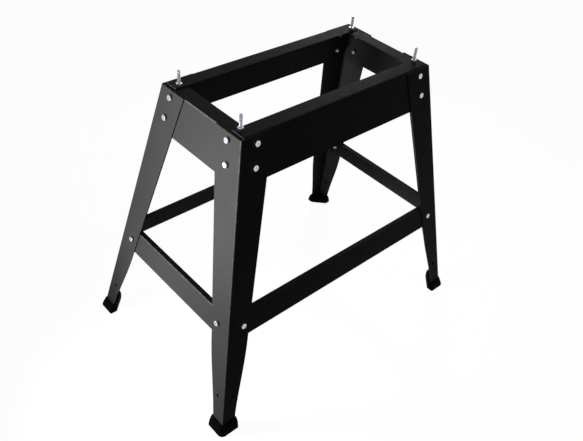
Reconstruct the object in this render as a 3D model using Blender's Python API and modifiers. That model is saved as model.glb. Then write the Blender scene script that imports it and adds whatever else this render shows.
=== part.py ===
# Band saw stand: four splayed pressed-steel legs, bolted top rails and stretchers, rubber boots.
# +Z is up, +X runs along the long side, and the origin is on the floor under the middle of the stand.
import math

import bmesh
import bpy
from mathutils import Matrix, Vector

MM = 0.001

# Outer faces of the legs, at the height of the rails' top and at the floor
STAND_HEIGHT = 600 * MM
TOP_LENGTH = 483 * MM
TOP_WIDTH = 226.5 * MM
FOOT_LENGTH = 700 * MM
FOOT_WIDTH = 449 * MM

# Folded sheet steel
LEG_SHEET = 2 * MM
RAIL_SHEET = 2 * MM
STRETCHER_SHEET = 2 * MM
BEND_RADIUS = 2.8 * MM  # outside of each fold
BEND_STEPS = 6
CLEARANCE = 0.3 * MM  # between pieces that touch

# Legs: flange widths are level distances from the fold
LEG_TOP_DROP = 1.8 * MM  # leg's top edge below the rails' top
LEG_END_HEIGHT = 5 * MM  # leg's lower edge above the floor, inside the boot
LEG_FLANGE_TOP = 68 * MM
LEG_FLANGE_KNEE = 49.5 * MM  # at the stretchers' lower edge
LEG_FLANGE_FOOT = 30.5 * MM
LEG_CURVE_STEPS = 9  # rows of the narrowing below the stretchers
LEG_CURVE_SHARE = 0.9  # share of S-curve in the narrowing, the rest is a straight taper
LEG_HOLE_DIAMETER = 7 * MM
LEG_HOLE_HEIGHT = 80.5 * MM
LEG_HOLE_INSET = 21 * MM  # from the leg's fold
LEG_COLLAR_DIAMETER = 9.5 * MM  # metal drawn inwards round the hole
LEG_COLLAR_HEIGHT = 3.5 * MM  # from the leg's inner face

# Top rails
RAIL_HEIGHT = 86.5 * MM
RAIL_FLANGE = 31 * MM
LONG_RAIL_INSET = 7.5 * MM  # rail's end from the leg's outer face
SHORT_RAIL_INSET = 3.2 * MM
RAIL_NOTCH_SLANT = 0.5 * MM  # of the cut that lets the long rail pass the short rail's flange

# Lower stretchers
STRETCHER_TOP = 260 * MM
STRETCHER_HEIGHT = 52 * MM
STRETCHER_FLANGE = 11.5 * MM
LONG_STRETCHER_INSET = 7.5 * MM
STRETCHER_END_GAP = 1.2 * MM  # short stretcher's end from the long stretcher's flange

# Hex bolts and nuts
BOLT_DIAMETER = 6 * MM
BOLT_TIP = 4 * MM  # thread past the nut
TIP_CHAMFER = 0.8 * MM
HEAD_ACROSS = 10 * MM
HEAD_HEIGHT = 4 * MM
HEAD_CHAMFER = 0.7 * MM
NUT_ACROSS = 10 * MM
NUT_HEIGHT = 5 * MM
BOLT_INSET = 34 * MM  # from the leg's fold
UPPER_BOLT_DROP = 15 * MM  # below the rails' top
LOWER_BOLT_EDGE = 29.5 * MM  # above the rail's lower edge
STRETCHER_BOLT_DROP = 23.5 * MM  # below the stretcher's top
MOUNT_BOLT_RISE = 30 * MM  # tip above the rails' top
MOUNT_LONG_EDGE = 7.5 * MM  # axis from the long rail's inner edge
MOUNT_SHORT_EDGE = 13.5 * MM  # axis from the short rail's inner edge

# Rubber boots
BOOT_HEIGHT = 24 * MM
BOOT_WALL = 3.5 * MM  # round the leg, at the rim
BOOT_FLARE = 3.5 * MM  # how much the foot is wider than the rim
BOOT_RIM_CHAMFER = 1.5 * MM
BOOT_SOLE_CHAMFER = 1 * MM
BOOT_CORNER = 11 * MM  # plan radius at the outer corner
BOOT_END_CORNER = 4 * MM  # plan radius at the other corners
BOOT_CORNER_STEPS = 6

RING_POINTS = 12  # round parts of fasteners and their holes
OPEN_HOLE_POINTS = 2 * RING_POINTS  # holes that stay empty

SLOPE_X = (FOOT_LENGTH - TOP_LENGTH) / 2 / STAND_HEIGHT
SLOPE_Y = (FOOT_WIDTH - TOP_WIDTH) / 2 / STAND_HEIGHT
TILT_X = math.atan(SLOPE_X)
TILT_Y = math.atan(SLOPE_Y)
LEG_TOP = STAND_HEIGHT - LEG_TOP_DROP
KNEE_HEIGHT = STRETCHER_TOP - STRETCHER_HEIGHT
SHORT_RAIL_TOP = STAND_HEIGHT - RAIL_SHEET - CLEARANCE
HOLE_DIAMETER = BOLT_DIAMETER + 2 * CLEARANCE
CORNERS = {"front_left": (-1, -1), "front_right": (1, -1), "rear_left": (-1, 1), "rear_right": (1, 1)}

for old in list(bpy.data.objects):
    bpy.data.objects.remove(old, do_unlink=True)

parts = bpy.data.collections.new("band_saw_stand")
tools = bpy.data.collections.new("band_saw_stand_tools")
for group in (parts, tools):
    bpy.context.scene.collection.children.link(group)


def material(name, colour, roughness, metallic):
    made = bpy.data.materials.new(name)
    made.use_nodes = True
    shader = made.node_tree.nodes["Principled BSDF"]
    shader.inputs["Base Color"].default_value = (*colour, 1)
    shader.inputs["Roughness"].default_value = roughness
    shader.inputs["Metallic"].default_value = metallic
    made.diffuse_color = (*colour, 1)
    return made


black_paint = material("black_satin_paint", (0.018, 0.018, 0.019), 0.42, 0)
zinc_plate = material("zinc_plated_steel", (0.72, 0.73, 0.75), 0.3, 1)
black_rubber = material("black_rubber", (0.01, 0.01, 0.01), 0.8, 0)


# Shape helpers

def half_length(z):
    return TOP_LENGTH / 2 + SLOPE_X * (STAND_HEIGHT - z)


def half_width(z):
    return TOP_WIDTH / 2 + SLOPE_Y * (STAND_HEIGHT - z)


def rounded_corner(before, corner, after, radius, steps):
    # Points of the arc that replaces a corner
    first = (before - corner).normalized()
    second = (after - corner).normalized()
    half = first.angle(second) / 2
    centre = corner + (first + second).normalized() * radius / math.sin(half)
    start = corner + first * radius / math.tan(half) - centre
    end = corner + second * radius / math.tan(half) - centre
    turn = start.angle(end)
    points = []
    for step in range(steps + 1):
        share = step / steps
        mix = start * math.sin((1 - share) * turn) + end * math.sin(share * turn)
        points.append(centre + mix / math.sin(turn))
    return points


def joined_rows(rows, following, rings):
    # Quads from each row to the one that follows it; a ring's last point joins its first
    mesh = bmesh.new()
    lines = [[mesh.verts.new(point) for point in row] for row in rows]
    for low, high in zip(lines, lines[1:] + lines[:following]):
        for i in range(len(low) if rings else len(low) - 1):
            j = (i + 1) % len(low)
            mesh.faces.new((low[i], low[j], high[j], high[i]))
    return mesh, lines


def open_sheet(rows):
    return joined_rows(rows, 0, False)[0]


def capped_rings(rows):
    mesh, lines = joined_rows(rows, 0, True)
    mesh.faces.new(lines[0])
    mesh.faces.new(lines[-1])
    bmesh.ops.recalc_face_normals(mesh, faces=mesh.faces)
    return mesh


def bored_rings(rows):
    # The last ring joins the first, so the rings run up the outside and down the bore
    mesh = joined_rows(rows, 1, True)[0]
    bmesh.ops.recalc_face_normals(mesh, faces=mesh.faces)
    return mesh


def finished(mesh, name):
    data = bpy.data.meshes.new(name)
    mesh.to_mesh(data)
    mesh.free()
    return data


def add_part(name, data, finish):
    made = bpy.data.objects.new(name, data)
    if not data.materials:
        data.materials.append(finish)
    parts.objects.link(made)
    return made


def add_tool(name, data):
    # Shape that only cuts a part or adds to one
    made = bpy.data.objects.new(name, data)
    made.hide_render = True
    made.display_type = "WIRE"
    tools.objects.link(made)
    return made


def combine(part, tool, operation):
    step = part.modifiers.new(operation.lower(), "BOOLEAN")
    step.operation = operation
    step.solver = "EXACT"
    step.object = tool


def folded_sheet(rows):
    # Open sheet whose faces look away from the middle of the stand
    mesh = open_sheet(rows)
    mesh.normal_update()
    middle = Vector((0, 0, min(vertex.co.z for vertex in mesh.verts)))
    facing = sum(face.normal.dot(face.calc_center_median() - middle) for face in mesh.faces)
    if facing < 0:
        bmesh.ops.reverse_faces(mesh, faces=mesh.faces)
    return mesh


def thicken(sheet, thickness):
    step = sheet.modifiers.new("sheet", "SOLIDIFY")
    step.thickness = thickness
    step.offset = -1
    step.use_even_offset = True


def round_bars(name, frames, diameter, low, high, points):
    # Along the frames' Z, from low to high
    mesh = bmesh.new()
    for frame in frames:
        middle = frame @ Matrix.Translation((0, 0, (low + high) / 2))
        bmesh.ops.create_cone(mesh, cap_ends=True, segments=points, radius1=diameter / 2,
                              radius2=diameter / 2, depth=high - low, matrix=middle)
    return add_tool(name, finished(mesh, name))


def drill(part, label, frames, diameter, depth, points=RING_POINTS):
    # Round holes, from depth in front to depth behind the frames' origins
    combine(part, round_bars(part.name + label, frames, diameter, -depth, depth, points), "DIFFERENCE")


# Places on the stand

def face_frame(face, sx, sy, inset, z):
    # On a leg's outer face, with Z pointing into the stand, square to the face
    if face == "long":
        origin = Vector((sx * (half_length(z) - inset), sy * half_width(z), z))
        inward = Vector((0, -sy * math.cos(TILT_Y), -math.sin(TILT_Y)))
        along = Vector((1, 0, 0))
    else:
        origin = Vector((sx * half_length(z), sy * (half_width(z) - inset), z))
        inward = Vector((-sx * math.cos(TILT_X), 0, -math.sin(TILT_X)))
        along = Vector((0, 1, 0))
    turn = Matrix((along, inward.cross(along), inward)).transposed().to_4x4()
    return Matrix.Translation(origin) @ turn


def rail_bolt_heights():
    return {"upper": STAND_HEIGHT - UPPER_BOLT_DROP, "lower": STAND_HEIGHT - RAIL_HEIGHT + LOWER_BOLT_EDGE}


def rail_bolt_frames(face, sx, sy):
    return [face_frame(face, sx, sy, BOLT_INSET, z) for z in rail_bolt_heights().values()]


def stretcher_bolt_frame(face, sx, sy):
    return face_frame(face, sx, sy, BOLT_INSET, STRETCHER_TOP - STRETCHER_BOLT_DROP)


def web_offset(tilt):
    # Level distance from a leg's outer face to the face of the web behind it
    return (LEG_SHEET + CLEARANCE) / math.cos(tilt)


def mount_frame(sx, sy):
    # On the rails' top, square to it, where the mounting bolt passes both flanges
    x = half_length(SHORT_RAIL_TOP) - web_offset(TILT_X) - RAIL_FLANGE + MOUNT_SHORT_EDGE
    y = half_width(STAND_HEIGHT) - web_offset(TILT_Y) - RAIL_FLANGE + MOUNT_LONG_EDGE
    return Matrix.Translation((sx * x, sy * y, STAND_HEIGHT))


# Legs

def leg_flange(z):
    # Straight taper down to the stretchers, then an S-curve to the foot
    if z >= KNEE_HEIGHT:
        share = (z - KNEE_HEIGHT) / (LEG_TOP - KNEE_HEIGHT)
        return LEG_FLANGE_KNEE + share * (LEG_FLANGE_TOP - LEG_FLANGE_KNEE)
    share = (KNEE_HEIGHT - z) / (KNEE_HEIGHT - LEG_END_HEIGHT)
    curve = share * share * (3 - 2 * share)
    share = share + LEG_CURVE_SHARE * (curve - share)
    return LEG_FLANGE_KNEE + share * (LEG_FLANGE_FOOT - LEG_FLANGE_KNEE)


def leg_row(sx, sy, z, grow):
    # Level section of a leg's outer surface; grow makes it larger for the boot's socket
    x = half_length(z) + grow
    y = half_width(z) + grow
    reach = leg_flange(z) + 2 * grow
    end_y = Vector((x, y - reach))
    end_x = Vector((x - reach, y))
    bend = rounded_corner(end_y, Vector((x, y)), end_x, BEND_RADIUS + grow, BEND_STEPS)
    return [Vector((sx * p.x, sy * p.y, z)) for p in [end_y, *bend, end_x]]


def add_leg(corner):
    sx, sy = CORNERS[corner]
    curve = KNEE_HEIGHT - LEG_END_HEIGHT
    levels = [LEG_END_HEIGHT + curve * i / LEG_CURVE_STEPS for i in range(LEG_CURVE_STEPS + 1)]
    levels.append(LEG_TOP)
    name = "leg_" + corner
    rows = [leg_row(sx, sy, z, 0) for z in levels]
    leg = add_part(name, finished(folded_sheet(rows), name), black_paint)
    thicken(leg, LEG_SHEET)
    frames = []
    for face in ("long", "short"):
        frames += rail_bolt_frames(face, sx, sy)
        frames.append(stretcher_bolt_frame(face, sx, sy))
    depth = LEG_SHEET + BEND_RADIUS
    drill(leg, "_bolt_holes", frames, HOLE_DIAMETER, depth)
    frames = [face_frame(face, sx, sy, LEG_HOLE_INSET, LEG_HOLE_HEIGHT) for face in ("long", "short")]
    collar_end = LEG_SHEET + LEG_COLLAR_HEIGHT
    collars = round_bars(name + "_collars", frames, LEG_COLLAR_DIAMETER, LEG_SHEET / 2, collar_end, OPEN_HOLE_POINTS)
    combine(leg, collars, "UNION")
    drill(leg, "_foot_holes", frames, LEG_HOLE_DIAMETER, collar_end + BEND_RADIUS, OPEN_HOLE_POINTS)


# Rails and stretchers

def angle_profile(half_span, tilt, top, height, flange):
    # Outline across a folded angle: web from its lower edge up, bend, flange towards the middle
    low = Vector((half_span(top - height) - web_offset(tilt), top - height))
    fold = Vector((half_span(top) - web_offset(tilt), top))
    inner = fold - Vector((flange, 0))
    return [low, *rounded_corner(low, fold, inner, BEND_RADIUS, BEND_STEPS), inner]


def row_places(inset):
    # Rows across a rail: both ends, and where the holed end zones pass into the plain middle
    zone = BOLT_INSET + 2 * HEAD_ACROSS
    return [(-1, inset), (-1, zone), (1, zone), (1, inset)]


def long_angle_rows(sy, profile, inset):
    rows = []
    for sx, place in row_places(inset):
        rows.append([Vector((sx * (half_length(p.y) - place), sy * p.x, p.y)) for p in profile])
    return rows


def short_angle_rows(sx, profile, inset):
    rows = []
    for sy, place in row_places(inset):
        rows.append([Vector((sx * p.x, sy * (half_width(p.y) - place), p.y)) for p in profile])
    return rows


def short_rail_rows(sx, profile):
    # The webs run past the ends of the long rails, and the flanges stop inside the long rails' folds
    notch = half_length(SHORT_RAIL_TOP) - LONG_RAIL_INSET + CLEARANCE
    *start, inner = profile
    steps = [Vector((notch + slant, SHORT_RAIL_TOP)) for slant in (RAIL_NOTCH_SLANT, 0)]
    rows = short_angle_rows(sx, [*start, *steps, inner], SHORT_RAIL_INSET)
    back = web_offset(TILT_Y) + BEND_RADIUS + CLEARANCE - SHORT_RAIL_INSET
    for row in (rows[0], rows[-1]):
        for point in row[-2:]:
            point.y -= math.copysign(back, point.y)
    return rows


def short_stretcher_inset():
    # The short stretchers stop inside the long stretchers' flanges
    return web_offset(TILT_Y) + STRETCHER_FLANGE + STRETCHER_END_GAP


def add_rail(side, rows, bolt_frames, mount_frames):
    name = "top_rail_" + side
    rail = add_part(name, finished(folded_sheet(rows), name), black_paint)
    thicken(rail, RAIL_SHEET)
    depth = LEG_SHEET + RAIL_SHEET + BEND_RADIUS
    drill(rail, "_holes", bolt_frames + mount_frames, HOLE_DIAMETER, depth)


def add_rails():
    profile = angle_profile(half_width, TILT_Y, STAND_HEIGHT, RAIL_HEIGHT, RAIL_FLANGE)
    for side, sy in (("front", -1), ("rear", 1)):
        bolts = rail_bolt_frames("long", -1, sy) + rail_bolt_frames("long", 1, sy)
        mounts = [mount_frame(sx, sy) for sx in (-1, 1)]
        add_rail(side, long_angle_rows(sy, profile, LONG_RAIL_INSET), bolts, mounts)
    height = RAIL_HEIGHT - (STAND_HEIGHT - SHORT_RAIL_TOP)
    profile = angle_profile(half_length, TILT_X, SHORT_RAIL_TOP, height, RAIL_FLANGE)
    for side, sx in (("left", -1), ("right", 1)):
        bolts = rail_bolt_frames("short", sx, -1) + rail_bolt_frames("short", sx, 1)
        mounts = [mount_frame(sx, sy) for sy in (-1, 1)]
        add_rail(side, short_rail_rows(sx, profile), bolts, mounts)


def add_stretcher(side, rows, frames):
    name = "stretcher_" + side
    stretcher = add_part(name, finished(folded_sheet(rows), name), black_paint)
    thicken(stretcher, STRETCHER_SHEET)
    drill(stretcher, "_holes", frames, HOLE_DIAMETER, LEG_SHEET + STRETCHER_SHEET + BEND_RADIUS)


def add_stretchers():
    profile = angle_profile(half_width, TILT_Y, STRETCHER_TOP, STRETCHER_HEIGHT, STRETCHER_FLANGE)
    for side, sy in (("front", -1), ("rear", 1)):
        frames = [stretcher_bolt_frame("long", sx, sy) for sx in (-1, 1)]
        add_stretcher(side, long_angle_rows(sy, profile, LONG_STRETCHER_INSET), frames)
    profile = angle_profile(half_length, TILT_X, STRETCHER_TOP, STRETCHER_HEIGHT, STRETCHER_FLANGE)
    for side, sx in (("left", -1), ("right", 1)):
        frames = [stretcher_bolt_frame("short", sx, sy) for sy in (-1, 1)]
        add_stretcher(side, short_angle_rows(sx, profile, short_stretcher_inset()), frames)


# Bolts and nuts, along +Z from the face under the head

def ring(across, z, corners):
    # Round ring, or a hexagon with a point in the middle of each flat
    points = []
    for i in range(RING_POINTS):
        angle = 2 * math.pi * i / RING_POINTS
        radius = across / 2
        if corners and i % 2:
            radius /= math.cos(math.pi / 6)
        points.append(Vector((radius * math.cos(angle), radius * math.sin(angle), z)))
    return points


def head_rings():
    outer = -CLEARANCE - HEAD_HEIGHT
    return [
        ring(HEAD_ACROSS - HEAD_CHAMFER, outer, False),
        ring(HEAD_ACROSS, outer + HEAD_CHAMFER, True),
        ring(HEAD_ACROSS, -CLEARANCE, True),
        ring(BOLT_DIAMETER, -CLEARANCE, False),
    ]


def tip_rings(tip):
    return [
        ring(BOLT_DIAMETER, tip - TIP_CHAMFER, False),
        ring(BOLT_DIAMETER - 2 * TIP_CHAMFER, tip, False),
    ]


def nut_rings(start):
    return [
        ring(NUT_ACROSS - HEAD_CHAMFER, start, False),
        ring(NUT_ACROSS, start + HEAD_CHAMFER, True),
        ring(NUT_ACROSS, start + NUT_HEIGHT - HEAD_CHAMFER, True),
        ring(NUT_ACROSS - HEAD_CHAMFER, start + NUT_HEIGHT, False),
    ]


def smooth(data):
    hard_edge = math.radians(35)
    data.shade_smooth()
    data.set_sharp_from_angle(angle=hard_edge)
    return data


def bolt_mesh(name, tip):
    return smooth(finished(capped_rings(head_rings() + tip_rings(tip)), name))


def bolt_and_nut_mesh(name, nut_start):
    nut_end = nut_start + NUT_HEIGHT
    held = [ring(BOLT_DIAMETER, nut_start, False), *nut_rings(nut_start), ring(BOLT_DIAMETER, nut_end, False)]
    return smooth(finished(capped_rings(head_rings() + held + tip_rings(nut_end + BOLT_TIP)), name))


def nut_mesh(name, start):
    bore = [ring(HOLE_DIAMETER, z, False) for z in (start + NUT_HEIGHT, start)]
    return smooth(finished(bored_rings(nut_rings(start) + bore), name))


def add_fastener(name, data, frame):
    made = add_part(name, data, zinc_plate)
    made.matrix_world = frame


def add_fasteners():
    rail_stack = LEG_SHEET + CLEARANCE + RAIL_SHEET + CLEARANCE
    stretcher_stack = LEG_SHEET + CLEARANCE + STRETCHER_SHEET + CLEARANCE
    flange_stack = 2 * RAIL_SHEET + CLEARANCE
    rail_bolt = bolt_and_nut_mesh("rail_bolt", rail_stack)
    stretcher_bolt = bolt_mesh("stretcher_bolt", stretcher_stack + NUT_HEIGHT + BOLT_TIP)
    stretcher_nut = nut_mesh("stretcher_nut", stretcher_stack)
    mount_bolt = bolt_mesh("mount_bolt", flange_stack + MOUNT_BOLT_RISE)
    mount_nut = nut_mesh("mount_nut", flange_stack + CLEARANCE)
    below = Matrix.Translation((0, 0, -flange_stack))
    for corner, (sx, sy) in CORNERS.items():
        for face in ("long", "short"):
            for row, z in rail_bolt_heights().items():
                frame = face_frame(face, sx, sy, BOLT_INSET, z)
                add_fastener(f"rail_bolt_{corner}_{face}_{row}", rail_bolt, frame)
            frame = stretcher_bolt_frame(face, sx, sy)
            add_fastener(f"stretcher_bolt_{corner}_{face}", stretcher_bolt, frame)
            add_fastener(f"stretcher_nut_{corner}_{face}", stretcher_nut, frame)
        add_fastener("mount_bolt_" + corner, mount_bolt, mount_frame(sx, sy) @ below)
        add_fastener("mount_nut_" + corner, mount_nut, mount_frame(sx, sy) @ below)


# Boots

def boot_row(sx, sy, z, wall, inset):
    # Level section: two sides along the leg's flanges, blunt ends and a slanted inner side
    x = half_length(z) + wall - inset
    y = half_width(z) + wall - inset
    reach = leg_flange(BOOT_HEIGHT) + 2 * (wall - inset)
    blunt = LEG_SHEET + 2 * (wall - inset)
    outline = [Vector(p) for p in (
        (x, y), (x - reach, y), (x - reach, y - blunt), (x - blunt, y - reach), (x, y - reach))]
    points = []
    for i, corner in enumerate(outline):
        radius = BOOT_END_CORNER if i else BOOT_CORNER
        after = outline[(i + 1) % len(outline)]
        points += rounded_corner(outline[i - 1], corner, after, radius - inset, BOOT_CORNER_STEPS)
    return [Vector((sx * p.x, sy * p.y, z)) for p in points]


def add_boot(corner):
    sx, sy = CORNERS[corner]
    name = "boot_" + corner
    foot = BOOT_WALL + BOOT_FLARE
    rows = [
        boot_row(sx, sy, 0, foot, BOOT_SOLE_CHAMFER),
        boot_row(sx, sy, BOOT_SOLE_CHAMFER, foot, 0),
        boot_row(sx, sy, BOOT_HEIGHT - BOOT_RIM_CHAMFER, BOOT_WALL, 0),
        boot_row(sx, sy, BOOT_HEIGHT, BOOT_WALL, BOOT_RIM_CHAMFER),
    ]
    boot = add_part(name, finished(capped_rings(rows), name), black_rubber)
    floor = LEG_END_HEIGHT - CLEARANCE
    mouth = BOOT_HEIGHT + BOOT_WALL
    levels = [floor, (floor + mouth) / 2, mouth]
    rows = [leg_row(sx, sy, z, CLEARANCE) for z in levels]
    socket = add_tool(name + "_socket", finished(folded_sheet(rows), name + "_socket"))
    thicken(socket, LEG_SHEET + 2 * CLEARANCE)
    combine(boot, socket, "DIFFERENCE")


for place in CORNERS:
    add_leg(place)
add_rails()
add_stretchers()
add_fasteners()
for place in CORNERS:
    add_boot(place)
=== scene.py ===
import math

import bmesh
import bpy
import numpy as np
from mathutils import Matrix, Vector


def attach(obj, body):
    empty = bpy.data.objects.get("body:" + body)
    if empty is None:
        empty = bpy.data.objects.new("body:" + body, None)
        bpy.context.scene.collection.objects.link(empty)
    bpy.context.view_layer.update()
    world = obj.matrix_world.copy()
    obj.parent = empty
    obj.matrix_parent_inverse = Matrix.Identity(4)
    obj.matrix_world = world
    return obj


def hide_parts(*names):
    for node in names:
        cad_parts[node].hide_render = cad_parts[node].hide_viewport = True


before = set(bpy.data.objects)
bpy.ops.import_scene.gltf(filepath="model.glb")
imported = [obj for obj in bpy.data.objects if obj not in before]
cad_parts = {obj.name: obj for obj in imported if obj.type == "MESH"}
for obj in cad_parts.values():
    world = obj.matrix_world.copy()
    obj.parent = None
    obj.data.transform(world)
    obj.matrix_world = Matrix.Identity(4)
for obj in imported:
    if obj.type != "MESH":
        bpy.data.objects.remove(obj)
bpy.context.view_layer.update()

mm = 0.001
corners = ("front_left", "front_right", "rear_left", "rear_right")
sides = ("front", "rear", "left", "right")
print("frame loaded:", len(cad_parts), "nodes")


# small helpers

def linearColour(hexCode):
    # sRGB hex to linear
    values = []
    for i in (1, 3, 5):
        share = int(hexCode[i:i + 2], 16) / 255
        values.append(share / 12.92 if share <= 0.04045 else ((share + 0.055) / 1.055) ** 2.4)
    return (*values, 1)


def setInputs(tree, node, inputs):
    # a node stands for its first output, and a list for several links to one socket
    for key, given in inputs.items():
        for value in given if isinstance(given, list) else [given]:
            if isinstance(value, bpy.types.Node):
                value = value.outputs[0]
            if isinstance(value, bpy.types.NodeSocket):
                tree.links.new(value, node.inputs[key])
            else:
                node.inputs[key].default_value = value


def addNode(tree, kind, inputs=None, **settings):
    node = tree.nodes.new(kind)
    for name, value in settings.items():
        setattr(node, name, value)
    setInputs(tree, node, inputs or {})
    return node


def newMaterial(name):
    made = bpy.data.materials.new(name)
    made.use_nodes = True
    tree = made.node_tree
    shader = tree.nodes["Principled BSDF"]
    place = addNode(tree, "ShaderNodeTexCoord").outputs["Object"]
    return made, tree, shader, place


def newObject(name, data):
    made = bpy.data.objects.new(name, data)
    bpy.context.scene.collection.objects.link(made)
    return made


def waveScale(size):
    return 1 / (size * mm)  # a noise with this scale repeats about once per size in millimetres


def span(side, limits):
    return {side + " Min": limits[0], side + " Max": limits[1]}  # inputs of a Map Range


def ramp(value, low, high):
    return min(1, max(0, (value - low) / (high - low)))


# materials

noiseSpan = (0.3, 0.7)  # most values of a noise lie between these
mixA, mixB, mixed = 6, 7, 2  # colour inputs and colour output of a Mix node

enamel = {
    "deep": "#3b3b3b",
    "pale": "#434343",
    # paler tone of worn film along folds and edges, which also serves as painted highlight there
    "wornAndLit": "#9c9c9c",
    # painted shade on the walls of holes
    "boreShade": "#060606",
    "cloudSize": 85,  # mm, slow change of film thickness
    "smearSize": 24,  # mm, marks of handling and dust
    "rubSize": 9,  # mm, breaks up the wear and painted highlight along folds and edges
    "rubBreak": (0.35, 0.65),  # values of that noise from least to full wear and highlight
    "rubLeast": 0.35,  # share of an edge's wear and highlight that shows everywhere
    "polish": -0.12,  # change of roughness where the film is worn
    "peelSize": 2.4,  # mm, orange peel
    "peelDepth": 0.02,  # mm
    "panSize": 130,  # mm, slack of the flat sheet between folds
    "panDepth": 0.5,  # mm
    "roughness": (0.40, 0.54),
    "specular": 0.015,
}


def bakedEnamel():
    # Black stoving enamel sprayed on folded sheet steel: a soft sheen that breaks up slightly over
    # orange peel and slack panels, with cloudy film, dull smears where hands and dust have been,
    # folds and edges rubbed paler with painted highlight on upper edges towards the ends, and hole
    # walls painted black as shade.
    made, tree, shader, place = newMaterial("black_baked_enamel")
    deep, pale, paleWearHighlight, black = (linearColour(enamel[k]) for k in ("deep", "pale", "wornAndLit", "boreShade"))
    cloud = addNode(tree, "ShaderNodeTexNoise", {
        "Vector": place, "Scale": waveScale(enamel["cloudSize"]), "Detail": 4.0})
    film = addNode(tree, "ShaderNodeMix", {0: cloud, mixA: deep, mixB: pale}, data_type="RGBA")
    rub = addNode(tree, "ShaderNodeTexNoise", {
        "Vector": place, "Scale": waveScale(enamel["rubSize"]), "Detail": 4.0, "Roughness": 0.6})
    broken = addNode(tree, "ShaderNodeMapRange", {
        "Value": rub, **span("From", enamel["rubBreak"]), "To Min": enamel["rubLeast"]})
    # wear and painted highlight along folds and edges, paler on upper edges towards the ends
    edge = addNode(tree, "ShaderNodeAttribute", attribute_name="wear_and_highlight").outputs["Fac"]
    wornAndLit = addNode(tree, "ShaderNodeMath", {0: edge, 1: broken}, operation="MULTIPLY")
    tone = addNode(tree, "ShaderNodeMix", {
        0: wornAndLit, mixA: film.outputs[mixed], mixB: paleWearHighlight}, data_type="RGBA")
    # painted shade: the walls of holes turn black
    boreShade = addNode(tree, "ShaderNodeAttribute", attribute_name="boreShade").outputs["Fac"]
    boreShaded = addNode(tree, "ShaderNodeMix", {
        0: boreShade, mixA: tone.outputs[mixed], mixB: black}, data_type="RGBA")
    smear = addNode(tree, "ShaderNodeTexNoise", {
        "Vector": place, "Scale": waveScale(enamel["smearSize"]), "Detail": 5.0,
        "Roughness": 0.62, "Distortion": 0.6})
    gloss = addNode(tree, "ShaderNodeMapRange", {
        "Value": smear, **span("From", noiseSpan), **span("To", enamel["roughness"])})
    polished = addNode(tree, "ShaderNodeMath", {
        0: wornAndLit, 1: enamel["polish"], 2: gloss}, operation="MULTIPLY_ADD")
    peel = addNode(tree, "ShaderNodeTexNoise", {
        "Vector": place, "Scale": waveScale(enamel["peelSize"]), "Detail": 1.0})
    pan = addNode(tree, "ShaderNodeTexNoise", {
        "Vector": place, "Scale": waveScale(enamel["panSize"]), "Detail": 0.0})
    slack = addNode(tree, "ShaderNodeBump", {
        "Height": pan, "Distance": enamel["panDepth"] * mm, "Strength": 1.0})
    skin = addNode(tree, "ShaderNodeBump", {
        "Height": peel, "Distance": enamel["peelDepth"] * mm, "Strength": 1.0, "Normal": slack})
    setInputs(tree, shader, {
        "Base Color": boreShaded.outputs[mixed], "Roughness": polished, "Normal": skin,
        "Specular IOR Level": enamel["specular"]})
    return made


zinc = {
    "blue": "#c6cdde",
    "straw": "#c8c6c2",
    # painted shade in the thread's grooves and the head's dimple
    "grooveShade": "#565450",
    "tintSize": 7,  # mm, passivate colour
    "strawPatch": (0.45, 0.7),  # values of that noise from blue to straw
    "shadeFull": 0.65,  # share of the thread's depth with the most painted shade
    "shadeMost": 0.8,  # how far the painted shade darkens the zinc
    "rubSize": 0.9,  # mm, drawn coarser than the real tumbling marks so that they show
    "rubDepth": 0.004,  # mm
    "roughness": (0.18, 0.26),
}
# darker copy for nuts inside the frame: painted shade, with a duller grain
shadedZinc = {**zinc, "blue": "#74777c", "straw": "#716f6a", "roughness": (0.34, 0.48)}


def zincPlate(name, look):
    # Zinc-plated steel, tumbled and passivated: silvery metal with a cold blue cast, straw patches,
    # a fine scuffed grain, and painted shade darkening the thread's grooves and a little the dimple
    # of the head.
    # Nuts inside the frame get a darker, duller copy as painted shade.
    made, tree, shader, place = newMaterial(name)
    blue, straw, grooveShade = (linearColour(look[k]) for k in ("blue", "straw", "grooveShade"))
    tint = addNode(tree, "ShaderNodeTexNoise", {
        "Vector": place, "Scale": waveScale(look["tintSize"]), "Detail": 3.0})
    patch = addNode(tree, "ShaderNodeMapRange", {"Value": tint, **span("From", look["strawPatch"])})
    tone = addNode(tree, "ShaderNodeMix", {0: patch, mixA: blue, mixB: straw}, data_type="RGBA")
    # painted shade: the thread's grooves and the head's dimple are darkened
    groove = addNode(tree, "ShaderNodeAttribute", attribute_name="groove").outputs["Fac"]
    shadeAmount = addNode(tree, "ShaderNodeMapRange", {
        "Value": groove, "From Max": look["shadeFull"], "To Max": look["shadeMost"]})
    grooveShaded = addNode(tree, "ShaderNodeMix", {
        0: shadeAmount, mixA: tone.outputs[mixed], mixB: grooveShade}, data_type="RGBA")
    rub = addNode(tree, "ShaderNodeTexNoise", {
        "Vector": place, "Scale": waveScale(look["rubSize"]), "Detail": 3.0, "Roughness": 0.6})
    gloss = addNode(tree, "ShaderNodeMapRange", {
        "Value": rub, **span("From", noiseSpan), **span("To", look["roughness"])})
    grain = addNode(tree, "ShaderNodeBump", {
        "Height": rub, "Distance": look["rubDepth"] * mm, "Strength": 1.0})
    setInputs(tree, shader, {
        "Base Color": grooveShaded.outputs[mixed], "Roughness": gloss, "Normal": grain, "Metallic": 1})
    return made


rubber = {
    "black": "#050505",
    "dusty": "#0c0c0b",
    "bloomSize": 12,  # mm, pale bloom and dust
    "bloomPatch": (0.4, 0.75),  # values of that noise from clean to dusty
    "grainSize": 0.8,  # mm, texture of the mould
    "grainDepth": 0.05,  # mm
    "roughness": (0.62, 0.82),
    "specular": 0.02,
}


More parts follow.
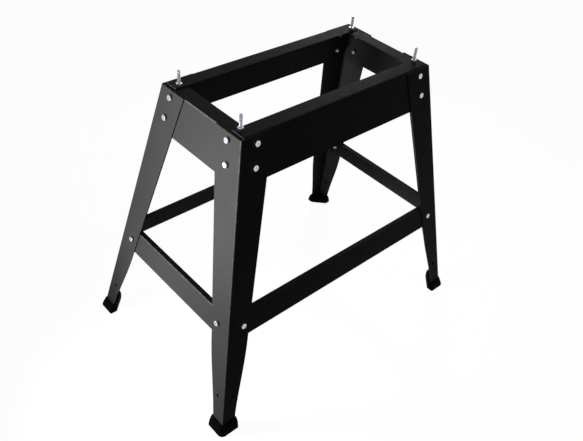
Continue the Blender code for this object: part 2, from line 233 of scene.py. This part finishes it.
def mouldedRubber():
    # Black moulded rubber: dull, slightly grey with bloom, with the fine grain of an eroded mould.
    made, tree, shader, place = newMaterial("black_moulded_rubber")
    black, dusty = (linearColour(rubber[k]) for k in ("black", "dusty"))
    bloom = addNode(tree, "ShaderNodeTexNoise", {
        "Vector": place, "Scale": waveScale(rubber["bloomSize"]), "Detail": 5.0, "Roughness": 0.6})
    film = addNode(tree, "ShaderNodeMapRange", {
        "Value": bloom, **span("From", rubber["bloomPatch"])})
    tone = addNode(tree, "ShaderNodeMix", {0: film, mixA: black, mixB: dusty}, data_type="RGBA")
    gloss = addNode(tree, "ShaderNodeMapRange", {
        "Value": bloom, **span("From", noiseSpan), **span("To", rubber["roughness"])})
    grain = addNode(tree, "ShaderNodeTexNoise", {
        "Vector": place, "Scale": waveScale(rubber["grainSize"]), "Detail": 2.0})
    skin = addNode(tree, "ShaderNodeBump", {
        "Height": grain, "Distance": rubber["grainDepth"] * mm, "Strength": 1.0})
    setInputs(tree, shader, {
        "Base Color": tone.outputs[mixed], "Roughness": gloss, "Normal": skin,
        "Specular IOR Level": rubber["specular"]})
    return made


paint = bakedEnamel()
boltFinish = zincPlate("bright_zinc_plate", zinc)
shadedNutFinish = zincPlate("shaded_zinc_plate", shadedZinc)
rubberFinish = mouldedRubber()
print("materials made")


# folded sheet and rubber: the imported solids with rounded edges

weld = {
    "gap": 0.002,  # mm, points this near become one
    "flat": 0.5,  # degrees, flatter seams go
}


def weldedCopy(nodeName):
    mesh = bmesh.new()
    mesh.from_mesh(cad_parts[nodeName].data)
    bmesh.ops.remove_doubles(mesh, verts=mesh.verts, dist=weld["gap"] * mm)
    bmesh.ops.dissolve_limit(mesh, angle_limit=math.radians(weld["flat"]),
                             verts=mesh.verts, edges=mesh.edges)
    return mesh


def sharpEdges(mesh, sharpest):
    limit = math.radians(sharpest)
    return [edge for edge in mesh.edges if edge.is_manifold and edge.calc_face_angle() > limit]


def roundEdges(mesh, edges, width, steps):
    bmesh.ops.bevel(mesh, geom=edges, offset=width * mm, offset_type="OFFSET", segments=steps,
                    profile=0.5, affect="EDGES", clamp_overlap=True)


def softShade(data, softEdge):
    data.shade_smooth()
    data.set_sharp_from_angle(angle=math.radians(softEdge))


def plainMesh(piece):
    # what the modifiers make becomes the object's own mesh
    depsgraph = bpy.context.evaluated_depsgraph_get()
    evaluated = piece.evaluated_get(depsgraph)
    made = bpy.data.meshes.new_from_object(evaluated, depsgraph=depsgraph)
    piece.modifiers.clear()
    piece.data = made
    return piece


def finishedPiece(name, mesh, finish, softEdge):
    data = bpy.data.meshes.new(name)
    mesh.to_mesh(data)
    mesh.free()
    data.materials.append(finish)
    softShade(data, softEdge)
    piece = newObject(name, data)
    normals = piece.modifiers.new("flat faces stay flat", "WEIGHTED_NORMAL")
    normals.keep_sharp = True
    return plainMesh(piece)


def standIn(piece, slot, *nodes):
    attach(piece, "root")
    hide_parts(*nodes)


sheet = {
    "edgeRound": 0.5,  # mm
    "edgeSteps": 2,
    "sharpest": 45,  # degrees, sharper edges are rounded
    "softEdge": 40,  # degrees, flatter edges are shaded smooth
    "broad": 4,  # mm, faces wider than this are flats
    "foldTurn": (5, 35),  # degrees away from the flats, from no wear and highlight to full
    "foldWearAndHighlight": 0.3,  # wear and painted highlight of all folds and edges
    "highlightHeights": (0, 550),  # heights in mm between which upper edges get more painted highlight and wear
    "upward": (0, 0.5),  # how far such an edge faces up, and to the ends of the stand, where the light falls on it
    "endward": (0, 2 / 3),
    "hollow": -0.05,  # radians, the faces of a hole's wall meet in edges more hollow than this
    "boreFaces": 7,  # a hole's wall has more faces than this
    "boreBalance": 0.1,  # share of its area that may face one way more than the other
}


def markWearAndHighlight(mesh):
    # 0 on flats, some wear and painted highlight along outer folds and rounded edges, most on
    # higher edges facing up and to the short ends, where light catches them and hands rub
    wear_and_highlight = mesh.verts.layers.float.new("wear_and_highlight")
    broad = [face.normal.copy() for face in mesh.faces if face.calc_area()
             > sheet["broad"] * mm * max(edge.calc_length() for edge in face.edges)]
    for point in mesh.verts:
        lean = sum((face.normal * face.calc_area() for face in point.link_faces), Vector())
        lean.normalize()
        away = min(math.degrees(lean.angle(normal)) for normal in broad)
        hollow = sum(edge.calc_face_angle_signed(0) for edge in point.link_edges) < 0
        # painted highlight with some rubbing: more on higher edges that face up and to the ends
        rubbedAndLit = (ramp(point.co.z / mm, *sheet["highlightHeights"]) * ramp(lean.z, *sheet["upward"])
                  * ramp(abs(lean.x), *sheet["endward"]))
        share = sheet["foldWearAndHighlight"] + (1 - sheet["foldWearAndHighlight"]) * rubbedAndLit
        point[wear_and_highlight] = 0 if hollow else share * ramp(away, *sheet["foldTurn"])


def markBoreShade(mesh):
    # painted shade, 1 on the walls of holes: rings of faces that meet in hollow edges and face all
    # ways round
    boreShade = mesh.verts.layers.float.new("boreShade")
    seen = set()
    for first in mesh.faces:
        if first in seen:
            continue
        seen.add(first)
        ring = [first]
        for face in ring:
            for edge in face.edges:
                if edge.calc_face_angle_signed(0) < sheet["hollow"]:
                    fresh = [other for other in edge.link_faces if other not in seen]
                    seen.update(fresh)
                    ring.extend(fresh)
        area = sum(face.calc_area() for face in ring)
        total = sum((face.normal * face.calc_area() for face in ring), Vector())
        if len(ring) > sheet["boreFaces"] and total.length < sheet["boreBalance"] * area:
            for face in ring:
                for point in face.verts:
                    point[boreShade] = 1


def sheetPiece(name, node):
    mesh = weldedCopy(node)
    edges = sharpEdges(mesh, sheet["sharpest"])
    roundEdges(mesh, edges, sheet["edgeRound"], sheet["edgeSteps"])
    markWearAndHighlight(mesh)
    markBoreShade(mesh)
    piece = finishedPiece(name, mesh, paint, sheet["softEdge"])
    standIn(piece, "black_paint", node)


for corner in corners:
    sheetPiece(corner + "_leg", "leg_" + corner)
for side in sides:
    sheetPiece(side + "_top_rail", "top_rail_" + side)
    sheetPiece(side + "_stretcher", "stretcher_" + side)
print("folded sheet done")

boot = {
    "bulge": 1.1,  # mm
    "wall": (0.1, 0.99),  # shares of the height between which the outside swells
    "swellPeak": 0.385,  # largest value of share - share ** 3
    "rows": (4, 7, 10, 13, 16, 19),  # heights in mm of the rows of points that let the wall swell
    "level": 0.1,  # mm, edges this near to the lowest or highest point are sole or rim
    "soleRound": 2.8,  # mm
    "rimRound": 1.2,  # mm
    "steps": 4,
    "sharpest": 30,  # degrees
    "softEdge": 50,  # degrees
}


def bootPiece(corner):
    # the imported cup, swollen between rim and sole as moulded rubber is, with a well rounded sole
    mesh = weldedCopy("boot_" + corner)
    low, high = (pick(point.co.z for point in mesh.verts) for pick in (min, max))
    middle = sum((point.co for point in mesh.verts), Vector()) / len(mesh.verts)
    for height in boot["rows"]:
        bmesh.ops.bisect_plane(mesh, geom=[*mesh.verts, *mesh.edges, *mesh.faces],
                               plane_co=(0, 0, low + height * mm), plane_no=(0, 0, 1))
    mesh.normal_update()
    for point in mesh.verts:
        share = (point.co.z - low) / (high - low)
        out = Vector((point.normal.x, point.normal.y, 0))
        if boot["wall"][0] < share < boot["wall"][1] and out.dot(point.co - middle) > 0:
            swell = boot["bulge"] * mm * (share - share ** 3) / boot["swellPeak"]
            point.co += out.normalized() * swell
    for level, width in ((low, boot["soleRound"]), (high, boot["rimRound"])):
        edges = [edge for edge in sharpEdges(mesh, boot["sharpest"])
                 if all(abs(point.co.z - level) < boot["level"] * mm for point in edge.verts)]
        roundEdges(mesh, edges, width, boot["steps"])
    piece = finishedPiece(corner + "_boot", mesh, rubberFinish, boot["softEdge"])
    standIn(piece, "black_rubber", "boot_" + corner)


for corner in corners:
    bootPiece(corner)
print("boots done")


# bolts and nuts, in millimetres along Z until they are set on their points

bolt = {
    "Across Flats": 10.0,
    "Head Height": 4.0,
    "Head Chamfer": 30.0,  # degrees
    "Dimple": 5.6,
    "Dimple Depth": 0.45,
    "Dimple Shade": 0.2,  # painted shade in the dimple, as a share of the thread's groove shade
    "Diameter": 6.0,
    "Pitch": 1.0,
    "Thread Depth": 0.55,
}
nut = {"Across Flats": 10.0, "Height": 5.0, "Chamfer": 30.0, "Bore": 6.05}
tipPastNut = 4.0  # of the bolts that share a node with their nut
thread = {
    "points": 20,  # round the bar
    "rowsPerTurn": 6.0,
    "flank": (0.08, 0.44),  # turns from the crest between which the groove deepens
    "tipChamfer": 0.8,
}
cutters = {
    "overlap": 1.0,  # of a blank past the cone that trims it
    "faceShare": 0.475,  # radius of the round face as a share of the width across flats
    "coneLength": 12.0,
    "conePoints": 48,
    "roundPoints": 40,  # of punch, drill and countersink
    "punchLength": 2.0,
    "punchTaper": 0.7,  # its narrow end as a share of its wide end
    "dimpleShadeReach": 1.5,  # times the dimple's radius, how far the dimple's painted shade reaches
    "drillLength": 40.0,
    "sinkLength": 2.0,  # the countersink widens as much
    "sinkDepth": 0.5,
    "sliver": 0.004,  # points this near after the cuts become one
    "softEdge": 28,  # degrees
}


def treeWithInputs(name, sizes):
    tree = bpy.data.node_groups.new(name, "GeometryNodeTree")
    kinds = {
        "Points": "Geometry", **dict.fromkeys(sizes, "Float"), "Seed": "Int", "Finish": "Material"}
    for socket, kind in kinds.items():
        tree.interface.new_socket(socket, in_out="INPUT", socket_type="NodeSocket" + kind)
    tree.interface.new_socket("Geometry", in_out="OUTPUT", socket_type="NodeSocketGeometry")
    return tree, addNode(tree, "NodeGroupInput").outputs


def raised(tree, shape, height):
    shift = addNode(tree, "ShaderNodeCombineXYZ", {2: height})
    return addNode(tree, "GeometryNodeTransform", {"Geometry": shape, "Translation": shift})


def hexBar(tree, across, low, high):
    # six-sided bar from low to high
    radius = addNode(tree, "ShaderNodeMath", {0: across, 1: math.sqrt(3)}, operation="DIVIDE")
    depth = addNode(tree, "ShaderNodeMath", {0: high, 1: low}, operation="SUBTRACT")
    total = addNode(tree, "ShaderNodeMath", {0: high, 1: low}, operation="ADD")
    middle = addNode(tree, "ShaderNodeMath", {0: total, 1: 2.0}, operation="DIVIDE")
    bar = addNode(tree, "GeometryNodeMeshCylinder", {
        "Vertices": 6, "Radius": radius, "Depth": depth})
    return raised(tree, bar, middle)


def chamferCone(tree, across, angle, start, grows):
    # turned cone that trims the corners of a hexagon, narrow at start and wide where it grows to
    length = cutters["coneLength"]
    narrow = addNode(tree, "ShaderNodeMath", {
        0: across, 1: cutters["faceShare"]}, operation="MULTIPLY")
    turn = addNode(tree, "ShaderNodeMath", {0: angle}, operation="RADIANS")
    steep = addNode(tree, "ShaderNodeMath", {0: turn}, operation="TANGENT")
    spread = addNode(tree, "ShaderNodeMath", {0: length, 1: steep}, operation="DIVIDE")
    wide = addNode(tree, "ShaderNodeMath", {0: narrow, 1: spread}, operation="ADD")
    bottom, top = (narrow, wide) if grows > 0 else (wide, narrow)
    cone = addNode(tree, "GeometryNodeMeshCone", {
        "Vertices": cutters["conePoints"], "Radius Bottom": bottom, "Radius Top": top,
        "Depth": length})
    base = addNode(tree, "ShaderNodeMath", {
        0: start, 1: 0.0 if grows > 0 else length}, operation="SUBTRACT")
    return raised(tree, cone, base)


def threadedShank(tree, sizes, length):
    # turned bar whose skin is pushed in along a helix, with a chamfered tip
    radius = addNode(tree, "ShaderNodeMath", {0: sizes["Diameter"], 1: 0.5}, operation="MULTIPLY")
    turns = addNode(tree, "ShaderNodeMath", {0: length, 1: sizes["Pitch"]}, operation="DIVIDE")
    rows = addNode(tree, "ShaderNodeMath", {
        0: turns, 1: thread["rowsPerTurn"]}, operation="MULTIPLY")
    bar = addNode(tree, "GeometryNodeMeshCylinder", {
        "Vertices": thread["points"], "Side Segments": rows, "Radius": radius, "Depth": length})
    point = addNode(tree, "GeometryNodeInputPosition")
    parts = addNode(tree, "ShaderNodeSeparateXYZ", {0: point}).outputs
    angle = addNode(tree, "ShaderNodeMath", {0: parts[1], 1: parts[0]}, operation="ARCTAN2")
    share = addNode(tree, "ShaderNodeMath", {0: angle, 1: math.tau}, operation="DIVIDE")
    height = addNode(tree, "ShaderNodeMath", {0: parts[2], 1: sizes["Pitch"]}, operation="DIVIDE")
    wind = addNode(tree, "ShaderNodeMath", {0: height, 1: share}, operation="SUBTRACT")
    ridge = addNode(tree, "ShaderNodeMath", {0: wind, 1: 0.5}, operation="PINGPONG")
    groove = addNode(tree, "ShaderNodeMapRange", {
        "Value": ridge, **span("From", thread["flank"]), "To Max": sizes["Thread Depth"]})
    tip = addNode(tree, "ShaderNodeMath", {0: length, 1: 0.5}, operation="MULTIPLY")
    neck = addNode(tree, "ShaderNodeMath", {0: tip, 1: thread["tipChamfer"]}, operation="SUBTRACT")
    taper = addNode(tree, "ShaderNodeMapRange", {
        "Value": parts[2], **span("From", (neck, tip)), "To Max": thread["tipChamfer"]})
    cut = addNode(tree, "ShaderNodeMath", {0: groove, 1: taper}, operation="MAXIMUM")
    loss = addNode(tree, "ShaderNodeMath", {0: cut, 1: radius}, operation="DIVIDE")
    keep = addNode(tree, "ShaderNodeMath", {0: 1.0, 1: loss}, operation="SUBTRACT")
    squeeze = addNode(tree, "ShaderNodeCombineXYZ", {0: keep, 1: keep, 2: 1.0})
    moved = addNode(tree, "ShaderNodeVectorMath", {0: point, 1: squeeze}, operation="MULTIPLY")
    # the groove's depth is stored for the painted shade that darkens the thread
    depth = addNode(tree, "ShaderNodeMath", {
        0: groove, 1: sizes["Thread Depth"]}, operation="DIVIDE")
    marked = addNode(tree, "GeometryNodeStoreNamedAttribute", {
        "Geometry": bar, "Name": "groove", "Value": depth}, data_type="FLOAT", domain="POINT")
    return addNode(tree, "GeometryNodeSetPosition", {"Geometry": marked, "Position": moved})


def setOnPoints(tree, sizes, shape):
    # one copy per point along the point's own axis, each turned by chance as a spanner leaves it
    axis = addNode(tree, "GeometryNodeInputNamedAttribute", {
        "Name": "axis"}, data_type="FLOAT_VECTOR")
    aim = addNode(tree, "FunctionNodeAlignRotationToVector", {"Vector": axis}, axis="Z")
    spin = addNode(tree, "FunctionNodeRandomValue", {
        3: math.tau, "Seed": sizes["Seed"]}, data_type="FLOAT")  # input 3 and output 1 are floats
    turn = addNode(tree, "FunctionNodeAxisAngleToRotation", {
        "Axis": (0, 0, 1), "Angle": spin.outputs[1]})
    laid = addNode(tree, "FunctionNodeRotateRotation", {
        "Rotation": aim, "Rotate By": turn}, rotation_space="LOCAL")
    clean = addNode(tree, "GeometryNodeMergeByDistance", {
        "Geometry": shape, "Distance": cutters["sliver"]})
    copies = addNode(tree, "GeometryNodeInstanceOnPoints", {
        "Points": sizes["Points"], "Instance": clean, "Rotation": laid, "Scale": (mm, mm, mm)})
    real = addNode(tree, "GeometryNodeRealizeInstances", {"Geometry": copies})
    finish = addNode(tree, "GeometryNodeSetMaterial", {
        "Geometry": real, "Material": sizes["Finish"]})
    addNode(tree, "NodeGroupOutput", {"Geometry": finish})


def hexBoltTree():
    # from the outer face of the head at 0
    tree, sizes = treeWithInputs("hex bolt", [*bolt, "Length"])
    across, head, length = (sizes[k] for k in ("Across Flats", "Head Height", "Length"))
    blank = hexBar(tree, across, -cutters["overlap"], head)
    trim = chamferCone(tree, across, sizes["Head Chamfer"], 0.0, 1)
    trimmed = addNode(tree, "GeometryNodeMeshBoolean", {
        "Mesh 2": [blank, trim]}, operation="INTERSECT", solver="EXACT")
    wide = addNode(tree, "ShaderNodeMath", {0: sizes["Dimple"], 1: 0.5}, operation="MULTIPLY")
    narrow = addNode(tree, "ShaderNodeMath", {
        0: wide, 1: cutters["punchTaper"]}, operation="MULTIPLY")
    punch = addNode(tree, "GeometryNodeMeshCone", {
        "Vertices": cutters["roundPoints"], "Radius Bottom": wide, "Radius Top": narrow,
        "Depth": cutters["punchLength"]})
    sunk = addNode(tree, "ShaderNodeMath", {
        0: sizes["Dimple Depth"], 1: cutters["punchLength"]}, operation="SUBTRACT")
    punched = addNode(tree, "GeometryNodeMeshBoolean", {
        "Mesh 1": trimmed, "Mesh 2": raised(tree, punch, sunk)},
        operation="DIFFERENCE", solver="EXACT")
    # painted shade in the dimple, fading out past its rim, stored with the thread's groove shade
    point = addNode(tree, "GeometryNodeInputPosition")
    flat = addNode(tree, "ShaderNodeVectorMath", {0: point, 1: (1, 1, 0)}, operation="MULTIPLY")
    away = addNode(tree, "ShaderNodeVectorMath", {0: flat}, operation="LENGTH").outputs["Value"]
    reach = addNode(tree, "ShaderNodeMath", {
        0: wide, 1: cutters["dimpleShadeReach"]}, operation="MULTIPLY")
    dimpleShade = addNode(tree, "ShaderNodeMapRange", {
        "Value": away, **span("From", (wide, reach)), **span("To", (sizes["Dimple Shade"], 0.0))})
    marked = addNode(tree, "GeometryNodeStoreNamedAttribute", {
        "Geometry": punched, "Name": "groove", "Value": dimpleShade}, data_type="FLOAT", domain="POINT")
    shankLength = addNode(tree, "ShaderNodeMath", {0: length, 1: head}, operation="SUBTRACT")
    shank = threadedShank(tree, sizes, shankLength)
    total = addNode(tree, "ShaderNodeMath", {0: length, 1: head}, operation="ADD")
    middle = addNode(tree, "ShaderNodeMath", {0: total, 1: 0.5}, operation="MULTIPLY")
    whole = addNode(tree, "GeometryNodeJoinGeometry", {
        "Geometry": [marked, raised(tree, shank, middle)]})
    setOnPoints(tree, sizes, whole)
    return tree


def hexNutTree():
    # from the nut's seat at 0
    tree, sizes = treeWithInputs("hex nut", nut)
    across, height, chamfer = (sizes[k] for k in ("Across Flats", "Height", "Chamfer"))
    over = addNode(tree, "ShaderNodeMath", {0: height, 1: cutters["overlap"]}, operation="ADD")
    blank = hexBar(tree, across, -cutters["overlap"], over)
    seat = chamferCone(tree, across, chamfer, 0.0, 1)
    crown = chamferCone(tree, across, chamfer, height, -1)
    trimmed = addNode(tree, "GeometryNodeMeshBoolean", {
        "Mesh 2": [blank, seat, crown]}, operation="INTERSECT", solver="EXACT")
    radius = addNode(tree, "ShaderNodeMath", {0: sizes["Bore"], 1: 0.5}, operation="MULTIPLY")
    drill = addNode(tree, "GeometryNodeMeshCylinder", {
        "Vertices": cutters["roundPoints"], "Radius": radius, "Depth": cutters["drillLength"]})
    mouth = addNode(tree, "ShaderNodeMath", {
        0: radius, 1: cutters["sinkLength"]}, operation="ADD")
    sink = addNode(tree, "GeometryNodeMeshCone", {
        "Vertices": cutters["roundPoints"], "Radius Bottom": radius, "Radius Top": mouth,
        "Depth": cutters["sinkLength"]})
    lift = addNode(tree, "ShaderNodeMath", {
        0: height, 1: cutters["sinkDepth"]}, operation="SUBTRACT")
    bored = addNode(tree, "GeometryNodeMeshBoolean", {
        "Mesh 1": trimmed, "Mesh 2": [drill, raised(tree, sink, lift)]},
        operation="DIFFERENCE", solver="EXACT")
    setOnPoints(tree, sizes, bored)
    return tree


def pointsOf(node):
    return np.array([vertex.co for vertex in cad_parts[node].data.vertices])


def axisOf(node):
    # outer end of a bolt's head, the direction towards its tip, and its length
    points = np.unique(np.round(pointsOf(node), 6), axis=0)  # each corner counts once
    middle = points.mean(axis=0)
    axis = np.linalg.svd(points - middle)[2][0]  # the way in which the points reach furthest
    upright = abs(axis[2]) > 0.5
    towardsTip = np.array((0, 0, 1)) if upright else -middle
    towardsTip[2] = max(towardsTip[2], 0)
    if axis @ towardsTip < 0:
        axis = -axis
    along = (points - middle) @ axis
    return middle + axis * along.min(), axis, along.max() - along.min()


def startAlong(node, origin, axis):
    return ((pointsOf(node) - origin) @ axis).min()


def pointsObject(name, places, axes):
    data = bpy.data.meshes.new(name)
    data.from_pydata([tuple(place) for place in places], [], [])
    aims = data.attributes.new("axis", "FLOAT_VECTOR", "POINT")
    aims.data.foreach_set("vector", np.ravel(axes).astype(np.float32))
    return newObject(name, data)


def fastenerSet(name, tree, sizes, finish, places, axes, seed, nodes):
    piece = pointsObject(name, places, axes)
    step = piece.modifiers.new(tree.name, "NODES")
    step.node_group = tree
    values = {**sizes, "Seed": seed, "Finish": finish}
    for socket in tree.interface.items_tree:
        if socket.in_out == "INPUT" and socket.name in values:
            step[socket.identifier] = values[socket.name]
    plainMesh(piece)
    softShade(piece.data, cutters["softEdge"])
    standIn(piece, "zinc_plate", *nodes)
    print(name, len(piece.data.polygons), "faces")


boltTree = hexBoltTree()
nutTree = hexNutTree()

faces = [f"{corner}_{face}" for corner in corners for face in ("long", "short")]
fasteners = {
    "rail": [f"{face}_{row}" for face in faces for row in ("upper", "lower")],
    "stretcher": faces,
    "mount": corners,
}

for seed, (use, places) in enumerate(fasteners.items()):
    bolts = [f"{use}_bolt_{place}" for place in places]
    nuts = [f"{use}_nut_{place}" for place in places]
    heads, axes, lengths = zip(*(axisOf(node) for node in bolts))
    length = lengths[0] / mm
    if use == "rail":  # these bolts and nuts share a node
        nuts = bolts
        starts = [(length - tipPastNut - nut["Height"]) * mm] * len(bolts)
    else:
        starts = [startAlong(*line) for line in zip(nuts, heads, axes)]
    seats = [head + axis * start for head, axis, start in zip(heads, axes, starts)]
    # nuts inside the frame take the darker copy as painted shade; the mount nuts on top stay bright
    nutLook = boltFinish if use == "mount" else shadedNutFinish
    boltSizes = {**bolt, "Length": length}
    fastenerSet(use + "_bolts", boltTree, boltSizes, boltFinish, heads, axes, 2 * seed, bolts)
    fastenerSet(use + "_nuts", nutTree, nut, nutLook, seats, axes, 2 * seed + 1, nuts)
print("bolts and nuts done")


# camera, floor and light

camera = {
    "place": (-0.8349, -0.8141, 1.2075),  # m
    "yaw": 46.19,  # degrees from +Y towards +X
    "pitch": 39.82,  # degrees below the horizon
    "roll": 6.47,  # degrees
    "focalPixels": 678.4,
    "photoWidth": 583,
    "sensor": 36.0,  # mm
}


def addCamera():
    yaw, pitch, roll = (math.radians(camera[name]) for name in ("yaw", "pitch", "roll"))
    ahead = math.cos(pitch)
    forward = Vector((math.sin(yaw) * ahead, math.cos(yaw) * ahead, -math.sin(pitch)))
    level = Vector((math.cos(yaw), -math.sin(yaw), 0))
    up = level.cross(forward)
    right = level * math.cos(roll) + up * math.sin(roll)
    top = up * math.cos(roll) - level * math.sin(roll)
    lens = bpy.data.cameras.new("camera")
    lens.sensor_fit = "HORIZONTAL"
    lens.sensor_width = camera["sensor"]
    lens.lens = camera["sensor"] * camera["focalPixels"] / camera["photoWidth"]
    made = newObject("camera", lens)
    turned = Matrix((right, top, -forward)).transposed().to_4x4()
    made.matrix_world = Matrix.Translation(camera["place"]) @ turned
    bpy.context.scene.camera = made


stage = {
    "paper": "#8c8c8c",
    "glow": 0.96,  # what the camera sees of the paper besides the lamps' light on it
    "halfSize": 12.0,  # m
    "drop": 0.0003,  # m below the soles
    "fill": 0.04,  # strength of the world's light
}


def seenByCamera(tree):
    # 1 for what the camera sees straight, or in metal and glass
    path = addNode(tree, "ShaderNodeLightPath").outputs
    shiny = addNode(tree, "ShaderNodeMath", {
        0: path["Is Glossy Ray"], 1: path["Is Transmission Ray"]}, operation="MAXIMUM")
    return addNode(tree, "ShaderNodeMath", {
        0: path["Is Camera Ray"], 1: shiny}, operation="MAXIMUM")


def addFloor():
    made = bpy.data.materials.new("white_paper_roll")
    made.use_nodes = True
    tree = made.node_tree
    tree.nodes.clear()
    matt = addNode(tree, "ShaderNodeBsdfDiffuse", {"Color": linearColour(stage["paper"])})
    strength = addNode(tree, "ShaderNodeMath", {
        0: seenByCamera(tree), 1: stage["glow"]}, operation="MULTIPLY")
    glow = addNode(tree, "ShaderNodeEmission", {"Strength": strength})
    both = addNode(tree, "ShaderNodeAddShader", {0: matt, 1: glow})
    addNode(tree, "ShaderNodeOutputMaterial", {"Surface": both})
    reach, low = stage["halfSize"], -stage["drop"]
    data = bpy.data.meshes.new("floor")
    data.from_pydata([(-reach, -reach, low), (reach, -reach, low), (reach, reach, low),
                      (-reach, reach, low)], [], [(0, 1, 2, 3)])
    data.materials.append(made)
    newObject("floor", data)


def addWorld():
    world = bpy.data.worlds.new("studio")
    world.use_nodes = True
    tree = world.node_tree
    tree.nodes.clear()
    strength = addNode(tree, "ShaderNodeMapRange", {
        "Value": seenByCamera(tree), **span("To", (stage["fill"], 1.0))})
    dome = addNode(tree, "ShaderNodeBackground", {"Color": (1, 1, 1, 1), "Strength": strength})
    addNode(tree, "ShaderNodeOutputWorld", {"Surface": dome})
    bpy.context.scene.world = world


lamps = {  # places and sizes in metres, spread in degrees
    "left_upper_strip": {
        "place": (-0.88, 0.10, 0.534), "aim": (-0.235, -0.141, 0.659),
        "wide": 0.44, "high": 0.08, "spread": 71, "watts": 1.36},
    "left_lower_strip": {
        "place": (-0.88, 0.23, 0.202), "aim": (-0.307, -0.144, 0.350),
        "wide": 0.20, "high": 0.08, "spread": 90, "watts": 2.42},
    "right_rear_softbox": {
        "place": (1.20, 0.93, 1.15), "aim": (0.15, 0.05, 0.60),
        "wide": 0.35, "high": 0.35, "spread": 120, "watts": 1.5},
}


def addLamp(name, place, aim, wide, high, spread, watts):
    light = bpy.data.lights.new(name, "AREA")
    light.energy = watts
    light.shape = "RECTANGLE"
    light.size = wide
    light.size_y = high
    light.spread = math.radians(spread)
    lamp = newObject(name, light)
    lamp.location = place
    lamp.rotation_euler = (Vector(aim) - Vector(place)).to_track_quat("-Z", "Y").to_euler()
    lamp.visible_camera = False


addCamera()
addFloor()
addWorld()
for name, lamp in lamps.items():
    addLamp(name, **lamp)
bpy.context.scene.view_settings.view_transform = "Standard"
print("stage done")
